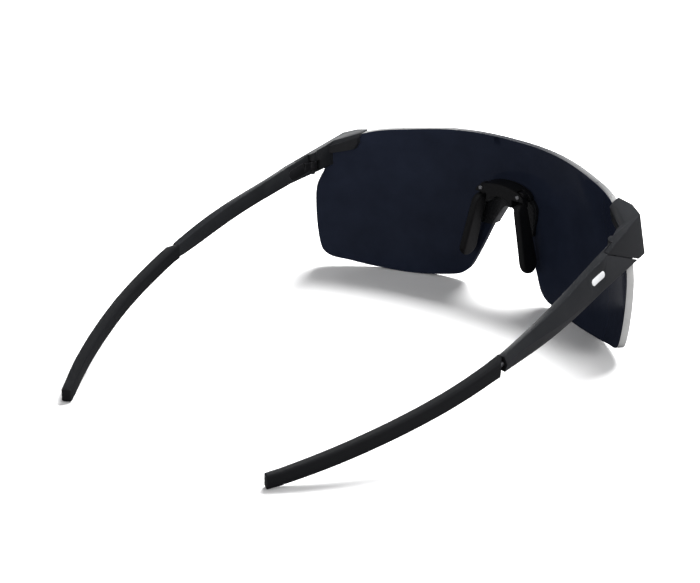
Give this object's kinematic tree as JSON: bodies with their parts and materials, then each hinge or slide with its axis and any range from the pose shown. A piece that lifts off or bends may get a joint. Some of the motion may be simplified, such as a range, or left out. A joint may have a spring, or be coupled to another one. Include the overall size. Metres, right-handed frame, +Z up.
{
  "type": "glacier glasses",
  "caption": "Wrap-around shield glacier glasses: one dark curved lens, folding temples with rubber ends, and an adjustable nose piece.",
  "frame": {"origin": "on the ground under the middle of the open glasses' bounding box", "axes": "+Z up as the open glasses stand on lens and temple tips, the lens faces -Y, the temples run back along +Y, +X is the wearer's left"},
  "size_m": [0.1436, 0.1681, 0.0555],
  "materials": {
    "frame_plastic": "satin moulded",
    "temple_plastic": "satin moulded",
    "hinge_steel": "turned",
    "hinge_leaf": "black coated",
    "badge": "satin silver, plain",
    "wire_steel": "drawn",
    "sleeve_rubber": "soft matt",
    "pad_rubber": "soft matt",
    "saddle_rubber": "soft matt",
    "pin_steel": "bright",
    "nose_plastic": "satin moulded",
    "lens": "dark tinted, polished"
  },
  "bodies": {
    "front": {"lens": "lens", "nose_carrier": "nose_plastic", "bridge_saddle": "saddle_rubber", "bridge_wire": "wire_steel", "endpiece_left": "frame_plastic", "lens_clamp_left": "frame_plastic", "hinge_screw_left": "hinge_steel", "pad_pin_left": "pin_steel", "endpiece_right": "frame_plastic", "lens_clamp_right": "frame_plastic", "hinge_screw_right": "hinge_steel", "pad_pin_right": "pin_steel"},
    "temple_left": {"hinge_leaf_left": "hinge_leaf", "temple_arm_left": "temple_plastic", "temple_badge_left": "badge", "temple_wire_left": "wire_steel", "temple_sleeve_left": "sleeve_rubber"},
    "temple_right": {"hinge_leaf_right": "hinge_leaf", "temple_arm_right": "temple_plastic", "temple_badge_right": "badge", "temple_wire_right": "wire_steel", "temple_sleeve_right": "sleeve_rubber"},
    "pad_left": {"nose_pad_left": "pad_rubber"},
    "pad_right": {"nose_pad_right": "pad_rubber"}
  },
  "joints": [
    {"name": "temple_left_fold", "type": "hinge", "parent": "front", "child": "temple_left", "pos_m": [0.0639, -0.04963, 0.04], "axis": [0, 0, 1], "range_deg": [0, 82]},
    {"name": "temple_right_fold", "type": "hinge", "parent": "front", "child": "temple_right", "pos_m": [-0.0639, -0.04963, 0.04], "axis": [0, 0, -1], "range_deg": [0, 74]},
    {"name": "nose_pad_left_tilt", "type": "hinge", "parent": "front", "child": "pad_left", "pos_m": [0.0079, -0.07637, 0.0381], "axis": [0, -1, 0], "range_deg": [-6, 10]},
    {"name": "nose_pad_right_tilt", "type": "hinge", "parent": "front", "child": "pad_right", "pos_m": [-0.0079, -0.07637, 0.0381], "axis": [0, 1, 0], "range_deg": [-6, 10]}
  ]
}
